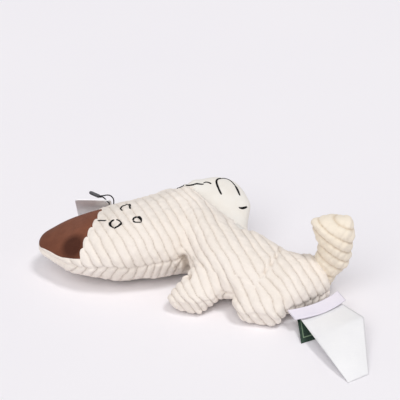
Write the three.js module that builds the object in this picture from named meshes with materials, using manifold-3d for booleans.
import * as THREE from 'three';
import { mergeVertices } from 'three/addons/utils/BufferGeometryUtils.js';
import Module from 'manifold-3d';

// A small stuffed animal toy in wide-wale corduroy, lying on its belly. Millimetres, +Z up.
// +X runs from the muzzle to the tail, and +Y from the side with the labels to the other side.
// The origin is the middle of the flat patch on which the belly rests.

const wasm = await Module();
wasm.setup();

const degrees = THREE.MathUtils.degToRad;

// Cloth, seats and clearances
const SKIN = 2;
const CLEARANCE = 0.3;
const JOINT_CLEARANCE = 0.8;
const SEAT_DEPTH = 0.5;
const OVERRUN = 40;
const SATIN = 0.5;
const CARD = 0.6;

// Facets
const BODY_SIDES = 20;
const LIMB_SIDES = 16;
const SOCKET_SIDES = 8;
const CAP_RINGS = 3;
const SWEEP_ANGLE = 14;
const SQUEAKER_SEGMENTS = 24;
const BULLET_SEGMENTS = 12;
const CORD_SIDES = 8;

// The stuffed forms. A form runs along its own axis from its root. Each row of stationShares is
// [along, across, up, half width, half height], as shares of length, half width, half height,
// half width and half height. Round caps close both ends.
const torso = {
  length: 95,
  halfWidth: 40,
  halfHeight: 25,
  startCap: 24.5,
  endCap: 5.5,
  neckBackShare: 0.397,
  neckAcrossShare: 0.935,
  sides: BODY_SIDES,
  stationShares: [
    [0.00, 0.00, 0.00, 0.89, 1.00],
    [0.08, -0.16, 0.00, 0.95, 1.00],
    [0.17, -0.43, -0.04, 0.98, 0.96],
    [0.27, -0.74, -0.13, 0.89, 0.87],
    [0.43, -0.92, -0.22, 0.77, 0.78],
    [0.55, -1.08, -0.27, 0.69, 0.73],
    [0.66, -1.24, -0.32, 0.67, 0.68],
    [0.74, -1.28, -0.36, 0.62, 0.64],
    [0.84, -1.20, -0.40, 0.46, 0.60],
    [0.92, -1.17, -0.48, 0.36, 0.52],
  ],
  seamShares: [0, -0.08, -0.16, -0.22, -0.28, -0.3, -0.3, -0.26, -0.15, 0],
};

const head = {
  length: 99,
  halfWidth: 36,
  halfHeight: 25,
  startCap: 1,
  endCap: 7,
  sides: BODY_SIDES,
  stationShares: [
    [0.00, 0.00, 0.00, 0.99, 1.00],
    [0.11, 0.13, 0.00, 1.03, 1.00],
    [0.24, 0.28, 0.00, 1.01, 1.00],
    [0.38, 0.38, -0.01, 0.97, 0.99],
    [0.48, 0.42, -0.04, 0.90, 0.94],
    [0.58, 0.42, -0.08, 0.84, 0.82],
    [0.72, 0.40, -0.14, 0.75, 0.62],
    [0.85, 0.31, -0.18, 0.60, 0.40],
    [0.93, 0.29, -0.20, 0.43, 0.28],
  ],
  seamShares: [0, 0, 0, 0, 0, -0.05, -0.2, 0, 0.25],
  nodUpAngle: 12,
  nodDownAngle: 6,
};

// The muzzle panel covers the top of the head in front of a slanting line and over a rising one.
const muzzle = {
  backShare: 0.61,
  slantAngle: -17,
  riseShare: 0.16,
  riseStartShare: 0.9,
};

// Each limb is placed on the torso by rootShares: along the torso's length, and across and up from
// its middle line in shares of its half width and half height there.
const limbs = {
  near_foreleg: {
    length: 34,
    halfWidth: 16,
    halfHeight: 18,
    headingAngle: -121,
    pitchAngle: 0,
    liftAngle: 24,
    dropAngle: 10,
    rootShares: [0.17, -0.58, -0.21],
    stationShares: [
      [0.00, 0.30, 0.00, 0.64, 1.00],
      [0.30, 0.24, -0.16, 0.76, 0.86],
      [0.60, 0.08, -0.40, 0.92, 0.62],
      [0.80, 0.02, -0.52, 0.90, 0.50],
    ],
  },
  near_hind_leg: {
    length: 21.5,
    halfWidth: 17,
    halfHeight: 15,
    headingAngle: -98,
    pitchAngle: 0,
    liftAngle: 24,
    dropAngle: 10,
    rootShares: [0.525, -0.725, -0.16],
    stationShares: [
      [0.00, 0.00, 0.00, 0.90, 1.00],
      [0.30, -0.01, -0.14, 0.96, 0.87],
      [0.60, -0.03, -0.34, 0.97, 0.68],
      [0.80, -0.03, -0.43, 0.90, 0.58],
    ],
  },
  far_foreleg: {
    length: 47,
    halfWidth: 20,
    halfHeight: 11,
    headingAngle: 97,
    pitchAngle: 22,
    liftAngle: 20,
    dropAngle: 35,
    rootShares: [0.25, 0.62, 0.1],
    stationShares: [
      [0.00, 0.00, 0.00, 0.90, 1.00],
      [0.25, 0.00, 0.00, 1.00, 1.00],
      [0.50, 0.00, 0.00, 1.06, 0.95],
      [0.72, -0.02, 0.00, 1.02, 0.84],
      [0.86, -0.04, 0.00, 0.88, 0.68],
    ],
  },
  far_hind_leg: {
    length: 18,
    halfWidth: 12,
    halfHeight: 9,
    headingAngle: 78,
    pitchAngle: 0,
    liftAngle: 30,
    dropAngle: 10,
    rootShares: [0.74, 0.55, -0.42],
    stationShares: [
      [0.00, 0.00, 0.00, 0.90, 1.00],
      [0.40, 0.00, -0.10, 1.00, 0.90],
      [0.80, 0.00, -0.22, 0.90, 0.78],
    ],
  },
  tail: {
    length: 45,
    halfWidth: 12,
    halfHeight: 14,
    headingAngle: 180,
    pitchAngle: 90,
    liftAngle: 40,
    dropAngle: 10,
    rootShares: [0.925, 0.2, 0.2],
    stationShares: [
      [0.00, 0.00, 0.00, 0.70, 0.57],
      [0.10, 0.00, 0.26, 0.76, 0.58],
      [0.22, 0.00, 0.50, 0.86, 0.70],
      [0.34, 0.00, 0.52, 0.94, 0.80],
      [0.48, 0.00, 0.58, 0.98, 0.84],
      [0.60, 0.00, 0.58, 1.00, 0.84],
      [0.71, 0.00, 0.48, 1.00, 0.96],
      [0.82, 0.00, 0.44, 0.96, 0.98],
      [0.90, 0.00, 0.44, 0.86, 0.90],
    ],
  },
};

// Squeaker, round in plan, in a pocket of the body filling
const squeaker = {
  radius: 0.115 * torso.length,
  height: 16,
  wall: 1.2,
  reedRadius: 0.037 * torso.length,
  reedThickness: 1.6,
  collarHeight: 5,
  slotWidth: 0.8,
  travel: 5,
  alongShare: 0.48,
  acrossShare: 0.24,
  restHeight: 10.5,
  shaftShare: 0.75,
};

// Labels sewn into the rear of the near seam, and the hang tag on its cord
// Where the labels leave the near seam, as a share of the torso's length
const LABEL_SHARE = 0.735;
const careLabel = {
  length: 66,
  foldShare: 0.39,
  arch: 2,
  cornerShares: [
    [0.00, 0.00, -0.045],
    [0.409, -0.894, -0.166],
    [0.602, -0.774, -0.162],
    [0.614, -0.158, 0.030],
    [0.39, 0.24, -0.045],
  ],
};
const foldedLabel = {
  length: 37.5,
  height: 8.5,
  setBack: 6,
  bow: 3.5,
  thickness: 1,
  headingAngle: 29,
  climbAngle: 3.5,
  droopHeadingAngle: -60,
  droopAngle: 10,
};
const sideLabel = {
  width: 18,
  length: 20,
  headingAngle: 27,
  runHeadingAngle: -85,
  below: 4.3,
};
const tag = {
  width: 24,
  height: 38,
  corner: 2.5,
  eyeletRadius: 1.6,
  eyeletInset: 2.6,
  headingAngle: 180,
  dipAngle: -1,
  leanAngle: 40,
  alongShare: 0.5,
  aroundAngle: 128,
  cordDiameter: 0.8,
  bulletLength: 7.4,
  bulletRadius: 1.25,
  bulletAxis: [-1, 0.3, 0.33],
  cordReach: 8.2,
  outerRouteShares: [
    [0.195, 0.024, 0.061],
    [0.146, 0.122, 0.280],
    [-0.073, 0.268, 0.463],
    [-0.366, 0.366, 0.463],
    [-0.659, 0.439, 0.366],
    [-1.000, 0.537, 0.293],
  ],
  innerRouteShares: [
    [-0.195, 0.000, -0.012],
    [-0.256, 0.171, -0.098],
    [-0.366, 0.463, -0.195],
    [-0.537, 0.683, -0.098],
    [-0.732, 0.659, 0.110],
    [-1.000, 0.537, 0.171],
  ],
  eyeletShare: 0.4,
};

const COLOURS = {
  cream: 0xefe8da,
  smoothCream: 0xf0ece4,
  brown: 0x6b3f2c,
  filling: 0xf6f5f2,
  white: 0xf2f1f0,
  green: 0x1f3a2e,
  black: 0x222124,
  plastic: 0xdfe4e6,
};

function material(colour, roughness) {
  return new THREE.MeshStandardMaterial({ color: colour, roughness, metalness: 0 });
}

// Value of one column of a table at a place between its rows, on a smooth curve
function smoothValue(places, values, place) {
  const last = places.length - 1;
  const held = Math.min(Math.max(place, places[0]), places[last]);
  let i = 0;
  while (i < last - 1 && held > places[i + 1]) i += 1;
  const slope = (k) => {
    const before = Math.max(k - 1, 0);
    const after = Math.min(k + 1, last);
    return (values[after] - values[before]) / (places[after] - places[before]);
  };
  const span = places[i + 1] - places[i];
  const u = (held - places[i]) / span;
  const rise = values[i + 1] - values[i];
  const bend = u * (1 - u) * ((slope(i) * span - rise) * (1 - u) - (slope(i + 1) * span - rise) * u);
  return values[i] + rise * u + bend;
}

function columnAt(form, column, share) {
  const places = form.stationShares.map((row) => row[0]);
  return smoothValue(places, form.stationShares.map((row) => row[column]), share);
}

// Middle line and half sizes of a form at a share of its length, in the form's own axes
function stationAt(form, share) {
  return {
    along: share * form.length,
    across: columnAt(form, 1, share) * form.halfWidth,
    up: columnAt(form, 2, share) * form.halfHeight,
    halfWidth: columnAt(form, 3, share) * form.halfWidth,
    halfHeight: columnAt(form, 4, share) * form.halfHeight,
  };
}

// From a form's own axes (along, across, up) to the toy's axes
function placement(root, heading, pitch) {
  const along = new THREE.Vector3(
    Math.cos(degrees(heading)) * Math.cos(degrees(pitch)),
    Math.sin(degrees(heading)) * Math.cos(degrees(pitch)),
    Math.sin(degrees(pitch)),
  );
  const across = new THREE.Vector3(-Math.sin(degrees(heading)), Math.cos(degrees(heading)), 0);
  const up = along.clone().cross(across);
  return new THREE.Matrix4().makeBasis(along, across, up).setPosition(root);
}

function solidFromArrays(points, triangles) {
  return new wasm.Manifold(new wasm.Mesh({
    numProp: 3,
    vertProperties: new Float32Array(points.flat()),
    triVerts: new Uint32Array(triangles.flat()),
  }));
}

function solidFromGeometry(geometry) {
  const bare = geometry.clone();
  bare.deleteAttribute('normal');
  bare.deleteAttribute('uv');
  const merged = mergeVertices(bare);
  return new wasm.Manifold(new wasm.Mesh({
    numProp: 3,
    vertProperties: new Float32Array(merged.attributes.position.array),
    triVerts: new Uint32Array(merged.index.array),
  }));
}

function geometryFromSolid(solid) {
  const mesh = solid.getMesh();
  const geometry = new THREE.BufferGeometry();
  geometry.setAttribute('position', new THREE.BufferAttribute(new Float32Array(mesh.vertProperties), 3));
  geometry.setIndex(new THREE.BufferAttribute(new Uint32Array(mesh.triVerts), 1));
  geometry.computeVertexNormals();
  return geometry;
}

function moved(solid, matrix) {
  return solid.transform(matrix.elements);
}

// Stations of a form from one end to the other, its caps included, drawn in by inset
function formStations(form, inset) {
  const rows = form.stationShares;
  const first = rows[0][0];
  const last = rows[rows.length - 1][0];
  const stations = [];
  const add = (share, beyond, scale) => {
    const station = stationAt(form, share);
    stations.push({
      along: station.along + beyond,
      across: station.across,
      up: station.up,
      halfWidth: (station.halfWidth - inset) * scale,
      halfHeight: (station.halfHeight - inset) * scale,
    });
  };
  for (let k = 0; k < CAP_RINGS; k += 1) {
    const angle = (Math.PI / 2) * (1 - k / CAP_RINGS);
    add(first, -(form.startCap - inset) * Math.sin(angle), Math.cos(angle));
  }
  for (const row of rows) {
    add(row[0], 0, 1);
  }
  for (let k = 1; k <= CAP_RINGS; k += 1) {
    const angle = (Math.PI / 2) * (k / CAP_RINGS);
    add(last, (form.endCap - inset) * Math.sin(angle), Math.cos(angle));
  }
  return stations;
}

// A stuffed form as a closed solid in its own axes: rings with one point at each end
function stuffedForm(form, inset = 0) {
  const stations = formStations(form, inset);
  const points = [];
  const triangles = [];
  const ringStart = [];
  stations.forEach((station, index) => {
    ringStart.push(points.length);
    const pole = index === 0 || index === stations.length - 1;
    const sides = pole ? 1 : form.sides;
    for (let j = 0; j < sides; j += 1) {
      const angle = (2 * Math.PI * j) / form.sides;
      const reach = pole ? 0 : 1;
      points.push([
        station.along,
        station.across + reach * station.halfWidth * Math.cos(angle),
        station.up + reach * station.halfHeight * Math.sin(angle),
      ]);
    }
  });
  const next = (j) => (j + 1) % form.sides;
  for (let j = 0; j < form.sides; j += 1) {
    triangles.push([0, ringStart[1] + next(j), ringStart[1] + j]);
  }
  for (let i = 1; i < stations.length - 2; i += 1) {
    for (let j = 0; j < form.sides; j += 1) {
      const a = ringStart[i] + j;
      const b = ringStart[i] + next(j);
      const c = ringStart[i + 1] + j;
      const d = ringStart[i + 1] + next(j);
      triangles.push([a, b, c], [b, d, c]);
    }
  }
  const lastRing = ringStart[stations.length - 2];
  const tip = ringStart[stations.length - 1];
  for (let j = 0; j < form.sides; j += 1) {
    triangles.push([lastRing + j, lastRing + next(j), tip]);
  }
  return solidFromArrays(points, triangles);
}

function box(low, high) {
  const geometry = new THREE.BoxGeometry(high.x - low.x, high.y - low.y, high.z - low.z);
  geometry.translate((low.x + high.x) / 2, (low.y + high.y) / 2, (low.z + high.z) / 2);
  return solidFromGeometry(geometry);
}

// Outline in the X-Z plane, extruded both ways along Y
function slabAcross(outline, halfDepth) {
  const geometry = new THREE.ExtrudeGeometry(new THREE.Shape(outline), { depth: 2 * halfDepth, bevelEnabled: false });
  geometry.rotateX(Math.PI / 2);
  geometry.translate(0, halfDepth, 0);
  return solidFromGeometry(geometry);
}

function largest(solids) {
  return solids.reduce((best, solid) => (solid.volume() > best.volume() ? solid : best));
}

// Places of the torso, head and limbs
const neck = new THREE.Vector3(
  -torso.neckBackShare * torso.length,
  torso.neckAcrossShare * torso.halfWidth,
  torso.halfHeight - SEAT_DEPTH,
);
const torsoPlace = placement(neck, 0, 0);
const headPlace = placement(neck, 180, 0);

function torsoPoint(alongShare, acrossShare, upShare) {
  const station = stationAt(torso, alongShare);
  return new THREE.Vector3(
    station.along,
    station.across + acrossShare * station.halfWidth,
    station.up + upShare * station.halfHeight,
  ).applyMatrix4(torsoPlace);
}

function seamHeight(form, share) {
  const places = form.stationShares.map((row) => row[0]);
  const station = stationAt(form, share);
  return station.up + smoothValue(places, form.seamShares, share) * station.halfHeight;
}

// A thin band along the seam, which parts the upper cloth from the lower
function seamBand(form) {
  const shares = form.stationShares.map((row) => row[0]);
  const line = shares.map((share) => new THREE.Vector2(share * form.length, seamHeight(form, share)));
  line.unshift(new THREE.Vector2(line[0].x - OVERRUN, line[0].y));
  line.push(new THREE.Vector2(form.length + OVERRUN, line[line.length - 1].y));
  const upper = line.map((point) => new THREE.Vector2(point.x, point.y + CLEARANCE / 2));
  const lower = line.map((point) => new THREE.Vector2(point.x, point.y - CLEARANCE / 2));
  return slabAcross([...lower, ...upper.reverse()], 4 * form.halfWidth);
}

const floor = box(
  new THREE.Vector3(-3 * torso.length, -3 * torso.length, -OVERRUN),
  new THREE.Vector3(3 * torso.length, 3 * torso.length, 0),
);

// Turn about the hinge line across a form's root, lifting the form's far end
function lifted(angle) {
  return new THREE.Matrix4().makeRotationY(degrees(-angle));
}

// The solid that a form's middle plane, with its width, sweeps between two angles
function sweptMiddle(form, from, to) {
  const rows = formStations(form, -JOINT_CLEARANCE).filter((station) => station.along > 0);
  rows.unshift({ ...rows[0], along: CLEARANCE, up: 0 });
  const steps = Math.ceil((to - from) / SWEEP_ANGLE);
  const points = [];
  const triangles = [];
  for (let k = 0; k <= steps; k += 1) {
    const turn = lifted(from + ((to - from) * k) / steps);
    for (const row of rows) {
      const reach = Math.max(row.halfWidth, JOINT_CLEARANCE);
      for (const side of [-1, 1]) {
        points.push(new THREE.Vector3(row.along, row.across + side * reach, row.up).applyMatrix4(turn).toArray());
      }
    }
  }
  const at = (k, i, side) => (k * rows.length + i) * 2 + side;
  const quad = (a, b, c, d) => triangles.push([a, b, c], [a, c, d]);
  const end = rows.length - 1;
  for (let k = 0; k < steps; k += 1) {
    for (let i = 0; i < end; i += 1) {
      quad(at(k, i, 0), at(k, i + 1, 0), at(k + 1, i + 1, 0), at(k + 1, i, 0));
      quad(at(k, i, 1), at(k + 1, i, 1), at(k + 1, i + 1, 1), at(k, i + 1, 1));
    }
    quad(at(k, end, 0), at(k, end, 1), at(k + 1, end, 1), at(k + 1, end, 0));
    quad(at(k, 0, 0), at(k + 1, 0, 0), at(k + 1, 0, 1), at(k, 0, 1));
  }
  for (let i = 0; i < end; i += 1) {
    quad(at(0, i, 0), at(0, i, 1), at(0, i + 1, 1), at(0, i + 1, 0));
    quad(at(steps, i, 0), at(steps, i + 1, 0), at(steps, i + 1, 1), at(steps, i, 1));
  }
  return solidFromArrays(points, triangles);
}

for (const [name, limb] of Object.entries(limbs)) {
  limb.sides = LIMB_SIDES;
  limb.startCap = limb.halfHeight * limb.stationShares[0][4];
  const lastShare = limb.stationShares[limb.stationShares.length - 1][0];
  limb.endCap = (1 - lastShare) * limb.length;
  limb.root = torsoPoint(...limb.rootShares);
  limb.place = placement(limb.root, limb.headingAngle, limb.pitchAngle);
  limb.name = name;
}

function limbSolid(limb) {
  return moved(stuffedForm(limb), limb.place).subtract(floor);
}

// A coarser form round a finer one, for the hollow in which the finer one turns
function socketForm(form) {
  const spread = 1 / Math.cos(Math.PI / SOCKET_SIDES);
  const wider = {
    ...form,
    sides: SOCKET_SIDES,
    halfWidth: form.halfWidth * spread,
    halfHeight: form.halfHeight * spread,
    startCap: form.startCap * spread,
  };
  return stuffedForm(wider, -JOINT_CLEARANCE);
}

// The hollow that lets a limb turn from its lowest to its highest
function limbSocket(limb) {
  const solid = socketForm(limb);
  const swept = sweptMiddle(limb, -limb.dropAngle, limb.liftAngle);
  const hollow = [-limb.dropAngle, (limb.liftAngle - limb.dropAngle) / 2, limb.liftAngle]
    .map((angle) => solid.transform(lifted(angle).elements))
    .reduce((whole, turned) => whole.add(turned), swept);
  return moved(hollow, limb.place);
}

// Torso: two cloth panels round a filling, with sockets for the limbs
function torsoSolids() {
  const sockets = Object.values(limbs).map(limbSocket);
  const cut = (solid) => sockets.reduce((rest, socket) => rest.subtract(socket), solid).subtract(floor);
  const outer = moved(stuffedForm(torso), torsoPlace);
  const inner = moved(stuffedForm(torso, SKIN), torsoPlace);
  const shell = cut(outer.subtract(inner)).subtract(moved(seamBand(torso), torsoPlace));
  const pieces = shell.decompose().sort((a, b) => b.volume() - a.volume());
  const [upper, lower] = pieces.slice(0, 2).sort((a, b) => middleHeight(b) - middleHeight(a));
  const filling = cut(moved(stuffedForm(torso, SKIN + CLEARANCE), torsoPlace));
  return { upper, lower, filling };
}

function middleHeight(solid) {
  const bounds = solid.boundingBox();
  return (bounds.min[2] + bounds.max[2]) / 2;
}

// Head: cloth panels round a filling, with a hollow at the back for the round front of the torso
function headSolids() {
  const torsoRoom = stuffedForm(torso, -JOINT_CLEARANCE);
  const socket = [-head.nodDownAngle, 0, head.nodUpAngle]
    .map((angle) => moved(torsoRoom, torsoPlace.clone().multiply(lifted(angle))))
    .reduce((rest, solid) => rest.add(solid));
  const outer = moved(stuffedForm(head), headPlace);
  const inner = moved(stuffedForm(head, SKIN), headPlace);
  const shell = outer.subtract(inner).subtract(socket).subtract(floor).subtract(moved(seamBand(head), headPlace));
  const pieces = shell.decompose().sort((a, b) => b.volume() - a.volume());
  const [upper, lower] = pieces.slice(0, 2).sort((a, b) => middleHeight(b) - middleHeight(a));
  const region = muzzleRegion(0);
  const grown = muzzleRegion(CLEARANCE);
  const filling = moved(stuffedForm(head, SKIN + CLEARANCE), headPlace).subtract(socket).subtract(floor);
  return {
    muzzlePanel: largest(upper.intersect(region).decompose()),
    topPanel: largest(upper.subtract(grown).decompose()),
    underPanel: lower,
    filling: largest(filling.decompose()),
  };
}

// The space in front of the slanting edge of the muzzle panel and over its rising lower edge
function muzzleRegion(grow) {
  const back = muzzle.backShare * head.length - grow;
  const start = muzzle.riseStartShare * head.length;
  const rise = muzzle.riseShare * head.halfHeight;
  const level = seamHeight(head, muzzle.riseStartShare) - grow;
  const front = head.length + OVERRUN;
  const outline = [
    new THREE.Vector2(back, level + rise),
    new THREE.Vector2(start, level),
    new THREE.Vector2(front, level),
    new THREE.Vector2(front, level + OVERRUN),
    new THREE.Vector2(back, level + OVERRUN),
  ];
  const middle = stationAt(head, muzzle.backShare);
  const slab = slabAcross(outline, 3 * head.halfWidth);
  const shift = new THREE.Matrix4().makeTranslation(back, middle.across, 0);
  const turn = shift.clone().multiply(new THREE.Matrix4().makeRotationZ(degrees(muzzle.slantAngle)));
  const place = headPlace.clone().multiply(turn).multiply(new THREE.Matrix4().makeTranslation(-back, 0, 0));
  return moved(slab, place);
}

// A closed solid turned about the vertical through the squeaker's middle
function turned(profile, segments) {
  const closed = [...profile, profile[0]].map(([r, z]) => new THREE.Vector2(r, z));
  const geometry = new THREE.LatheGeometry(closed, segments);
  geometry.rotateX(Math.PI / 2);
  return solidFromGeometry(geometry);
}

const squeakerMiddle = torsoPoint(squeaker.alongShare, squeaker.acrossShare, 0);
const squeakerPlace = new THREE.Matrix4().makeTranslation(
  squeakerMiddle.x,
  squeakerMiddle.y,
  squeaker.restHeight,
);

// Cup with a collar in the middle of its floor, which holds the reed
function squeakerBase() {
  const s = squeaker;
  const collar = s.reedRadius + CLEARANCE;
  const rim = s.height / 2;
  return turned([
    [collar, 0],
    [s.radius - s.wall, 0],
    [s.radius, s.wall],
    [s.radius, rim],
    [s.radius - s.wall, rim],
    [s.radius - s.wall, 2 * s.wall],
    [s.radius - 2 * s.wall, s.wall],
    [collar + s.wall, s.wall],
    [collar + s.wall, s.collarHeight],
    [collar, s.collarHeight],
  ], SQUEAKER_SEGMENTS);
}

// Dome whose skirt slides in the cup
function squeakerDome() {
  const s = squeaker;
  const skirt = s.radius - s.wall - CLEARANCE;
  const low = 2 * s.wall + CLEARANCE + s.travel;
  const shoulder = s.height - 3 * s.wall;
  return turned([
    [skirt, low],
    [skirt, shoulder],
    [skirt - 2 * s.wall, s.height - s.wall],
    [skirt / 2, s.height],
    [0, s.height],
    [0, s.height - s.wall],
    [skirt / 2, s.height - s.wall],
    [skirt - 3 * s.wall, s.height - 2 * s.wall],
    [skirt - s.wall, shoulder - s.wall],
    [skirt - s.wall, low],
  ], SQUEAKER_SEGMENTS);
}

// Round reed plate with the slot through which the air goes
function squeakerReed() {
  const s = squeaker;
  const plate = new THREE.CylinderGeometry(s.reedRadius, s.reedRadius, s.reedThickness, SQUEAKER_SEGMENTS);
  plate.rotateX(Math.PI / 2);
  plate.translate(0, 0, s.collarHeight / 2);
  const slot = box(
    new THREE.Vector3(-s.reedRadius / 2, -s.slotWidth / 2, 0),
    new THREE.Vector3(s.reedRadius / 2, s.slotWidth / 2, s.collarHeight),
  );
  return solidFromGeometry(plate).subtract(slot);
}

// Pocket in the filling: a round hollow with a narrower shaft down to the belly panel
function squeakerPocket() {
  const s = squeaker;
  const hollow = new THREE.CylinderGeometry(
    s.radius + CLEARANCE,
    s.radius + CLEARANCE,
    s.height + 4 * CLEARANCE,
    SQUEAKER_SEGMENTS,
  );
  hollow.rotateX(Math.PI / 2);
  hollow.translate(0, 0, s.height / 2 - CLEARANCE);
  const shaftRadius = s.shaftShare * s.radius;
  const shaft = new THREE.CylinderGeometry(shaftRadius, shaftRadius, OVERRUN, SQUEAKER_SEGMENTS);
  shaft.rotateX(Math.PI / 2);
  shaft.translate(0, 0, -OVERRUN / 2);
  return moved(solidFromGeometry(hollow).add(solidFromGeometry(shaft)), squeakerPlace);
}

// A thin sheet through the points surface(s, t), s along it and t across it, thickened to one side
function sheet(surface, thickness, alongCells, acrossCells) {
  const points = [];
  const triangles = [];
  const step = 0.001;
  const rows = alongCells + 1;
  const columns = acrossCells + 1;
  for (const side of [0, 1]) {
    for (let i = 0; i < rows; i += 1) {
      for (let j = 0; j < columns; j += 1) {
        const s = i / alongCells;
        const t = j / acrossCells;
        const point = surface(s, t);
        const alongStep = surface(s + step, t).sub(surface(s - step, t));
        const acrossStep = surface(s, t + step).sub(surface(s, t - step));
        const normal = alongStep.cross(acrossStep).normalize();
        points.push(point.addScaledVector(normal, side * thickness).toArray());
      }
    }
  }
  const at = (side, i, j) => side * rows * columns + i * columns + j;
  const quad = (a, b, c, d) => triangles.push([a, b, c], [a, c, d]);
  for (let i = 0; i < alongCells; i += 1) {
    for (let j = 0; j < acrossCells; j += 1) {
      quad(at(1, i, j), at(1, i + 1, j), at(1, i + 1, j + 1), at(1, i, j + 1));
      quad(at(0, i, j), at(0, i, j + 1), at(0, i + 1, j + 1), at(0, i + 1, j));
    }
  }
  for (let i = 0; i < alongCells; i += 1) {
    quad(at(0, i, 0), at(0, i + 1, 0), at(1, i + 1, 0), at(1, i, 0));
    quad(at(0, i + 1, acrossCells), at(0, i, acrossCells), at(1, i, acrossCells), at(1, i + 1, acrossCells));
  }
  for (let j = 0; j < acrossCells; j += 1) {
    quad(at(0, 0, j + 1), at(0, 0, j), at(1, 0, j), at(1, 0, j + 1));
    quad(at(0, alongCells, j), at(0, alongCells, j + 1), at(1, alongCells, j + 1), at(1, alongCells, j));
  }
  return solidFromArrays(points, triangles);
}

const mix = (from, to, u) => from + (to - from) * u;

// A point on the outside of a form, at an angle round its section
function surfacePoint(form, place, share, angle, outward) {
  const station = stationAt(form, share);
  return new THREE.Vector3(
    station.along,
    station.across + (station.halfWidth + outward) * Math.cos(degrees(angle)),
    station.up + (station.halfHeight + outward) * Math.sin(degrees(angle)),
  ).applyMatrix4(place);
}

function direction(heading, tilt) {
  return new THREE.Vector3(
    Math.cos(degrees(heading)) * Math.cos(degrees(tilt)),
    Math.sin(degrees(heading)) * Math.cos(degrees(tilt)),
    Math.sin(degrees(tilt)),
  );
}

const labelRoot = new THREE.Vector3(
  0,
  columnAt(torso, 1, LABEL_SHARE) * torso.halfWidth - columnAt(torso, 3, LABEL_SHARE) * torso.halfWidth,
  seamHeight(torso, LABEL_SHARE),
).add(new THREE.Vector3(LABEL_SHARE * torso.length, -CLEARANCE, 0)).applyMatrix4(torsoPlace);

function careLabelSurface(s, t) {
  const c = careLabel;
  const [start, nearEnd, farEnd, fold, farStart] = c.cornerShares.map(
    (row) => new THREE.Vector3(...row).multiplyScalar(c.length).add(labelRoot),
  );
  const near = start.clone().lerp(nearEnd, s);
  const far = s < c.foldShare
    ? farStart.clone().lerp(fold, s / c.foldShare)
    : fold.clone().lerp(farEnd, (s - c.foldShare) / (1 - c.foldShare));
  const crown = c.arch * 4 * t * (1 - t) * 4 * s * (1 - s);
  return near.lerp(far, t).add(new THREE.Vector3(0, 0, crown));
}

function foldedLabelSurface(s, t) {
  const f = foldedLabel;
  const root = labelRoot.clone().add(new THREE.Vector3(-f.setBack, -f.thickness, f.thickness / 2));
  return root.addScaledVector(direction(f.headingAngle, f.climbAngle), f.length * s)
    .addScaledVector(direction(f.headingAngle - 90, 0), f.bow * 4 * s * (1 - s))
    .addScaledVector(direction(f.droopHeadingAngle, -f.droopAngle), f.height * t);
}

function sideLabelSurface(s, t) {
  const l = sideLabel;
  const root = labelRoot.clone().add(new THREE.Vector3(0, 0, -l.below));
  const point = root.addScaledVector(direction(l.runHeadingAngle, 0), l.length * s)
    .addScaledVector(direction(l.headingAngle, 0), l.width * t);
  point.z = mix(point.z, CLEARANCE, s);
  return point;
}

// Hang tag: a card on two short strands of cord that are sealed into a bullet
const tagRoot = surfacePoint(head, headPlace, tag.alongShare, tag.aroundAngle, CLEARANCE + tag.cordDiameter / 2);

// Points of a strand, from where it leaves the cloth to the bullet
function routePoints(shares) {
  return shares.map((share) => new THREE.Vector3(...share).multiplyScalar(tag.cordReach).add(tagRoot));
}

function cordTube(shares) {
  const curve = new THREE.CatmullRomCurve3(routePoints(shares));
  const section = new THREE.Shape();
  for (let k = 0; k < CORD_SIDES; k += 1) {
    const angle = (2 * Math.PI * k) / CORD_SIDES;
    const x = (tag.cordDiameter / 2) * Math.cos(angle);
    const y = (tag.cordDiameter / 2) * Math.sin(angle);
    if (k === 0) section.moveTo(x, y);
    else section.lineTo(x, y);
  }
  const steps = Math.ceil(curve.getLength() / (2 * tag.cordDiameter));
  return solidFromGeometry(new THREE.ExtrudeGeometry(section, { steps, extrudePath: curve, bevelEnabled: false }));
}

function tagBullet() {
  const start = routePoints(tag.outerRouteShares).pop().lerp(routePoints(tag.innerRouteShares).pop(), 1 / 2);
  const axis = new THREE.Vector3(...tag.bulletAxis).normalize();
  const r = tag.bulletRadius;
  const profile = [
    new THREE.Vector2(0, 0),
    new THREE.Vector2(r, 0),
    new THREE.Vector2(r, tag.bulletLength - r / 2),
    new THREE.Vector2(r / 2, tag.bulletLength),
    new THREE.Vector2(0, tag.bulletLength),
  ];
  const geometry = new THREE.LatheGeometry(profile, BULLET_SEGMENTS);
  geometry.translate(0, CLEARANCE, 0);
  geometry.applyQuaternion(new THREE.Quaternion().setFromUnitVectors(new THREE.Vector3(0, 1, 0), axis));
  geometry.translate(start.x, start.y, start.z);
  return solidFromGeometry(geometry);
}

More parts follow.
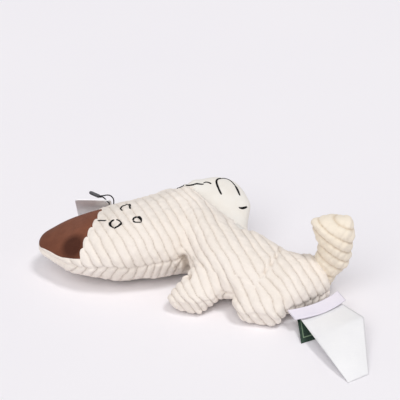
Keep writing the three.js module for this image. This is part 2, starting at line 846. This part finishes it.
function tagCard() {
  const t = tag;
  const strand = routePoints(t.innerRouteShares);
  const eyelet = strand[Math.round(t.eyeletShare * (strand.length - 1))];
  const shape = new THREE.Shape();
  const right = -t.eyeletInset;
  const left = t.width - t.eyeletInset;
  const top = -t.eyeletInset;
  const bottom = t.height - t.eyeletInset;
  shape.moveTo(right + t.corner, top);
  shape.lineTo(left - t.corner, top);
  shape.quadraticCurveTo(left, top, left, top + t.corner);
  shape.lineTo(left, bottom - t.corner);
  shape.quadraticCurveTo(left, bottom, left - t.corner, bottom);
  shape.lineTo(right + t.corner, bottom);
  shape.quadraticCurveTo(right, bottom, right, bottom - t.corner);
  shape.lineTo(right, top + t.corner);
  shape.quadraticCurveTo(right, top, right + t.corner, top);
  const hole = new THREE.Path();
  hole.absarc(0, 0, t.eyeletRadius, 0, 2 * Math.PI, true);
  shape.holes.push(hole);
  const geometry = new THREE.ExtrudeGeometry(shape, { depth: CARD, bevelEnabled: false, curveSegments: 4 });
  geometry.translate(0, 0, -CARD / 2);
  const x = direction(t.headingAngle, -t.dipAngle);
  const y = direction(t.headingAngle - 90, t.leanAngle - 90);
  const z = x.clone().cross(y).normalize();
  y.crossVectors(z, x);
  geometry.applyMatrix4(new THREE.Matrix4().makeBasis(x, y, z).setPosition(eyelet));
  return solidFromGeometry(geometry);
}

const toy = new THREE.Group();

function addNode(name, solid, look) {
  const mesh = new THREE.Mesh(geometryFromSolid(solid), look);
  mesh.name = name;
  toy.add(mesh);
}

const corduroy = material(COLOURS.cream, 0.95);
const velour = material(COLOURS.brown, 0.95);
const plush = material(COLOURS.smoothCream, 0.95);
const wadding = material(COLOURS.filling, 1);
const satin = material(COLOURS.white, 0.45);
const vinyl = material(COLOURS.plastic, 0.4);

const headParts = headSolids();
const torsoParts = torsoSolids();
addNode('muzzle_panel', headParts.muzzlePanel, velour);
addNode('head_top_panel', headParts.topPanel, corduroy);
addNode('head_under_panel', headParts.underPanel, corduroy);
addNode('head_filling', headParts.filling, wadding);
addNode('back_panel', torsoParts.upper, corduroy);
addNode('belly_panel', torsoParts.lower, corduroy);
addNode('body_filling', largest(torsoParts.filling.subtract(squeakerPocket()).decompose()), wadding);
for (const limb of Object.values(limbs)) {
  addNode(limb.name, limbSolid(limb), limb.name === 'far_foreleg' ? plush : corduroy);
}
addNode('squeaker_base', moved(squeakerBase(), squeakerPlace), vinyl);
addNode('squeaker_dome', moved(squeakerDome(), squeakerPlace), vinyl);
addNode('squeaker_reed', moved(squeakerReed(), squeakerPlace), vinyl);
addNode('care_label', sheet(careLabelSurface, SATIN, 10, 4), satin);
addNode('folded_label', sheet(foldedLabelSurface, foldedLabel.thickness, 6, 1), satin);
addNode('side_label', sheet(sideLabelSurface, SATIN, 4, 1), material(COLOURS.green, 0.7));
addNode('tag_card', tagCard(), material(COLOURS.white, 0.8));
addNode('tag_cord_outer', cordTube(tag.outerRouteShares), material(COLOURS.black, 0.8));
addNode('tag_cord_inner', cordTube(tag.innerRouteShares), material(COLOURS.black, 0.8));
addNode('tag_bullet', tagBullet(), material(COLOURS.black, 0.4));

export default toy;
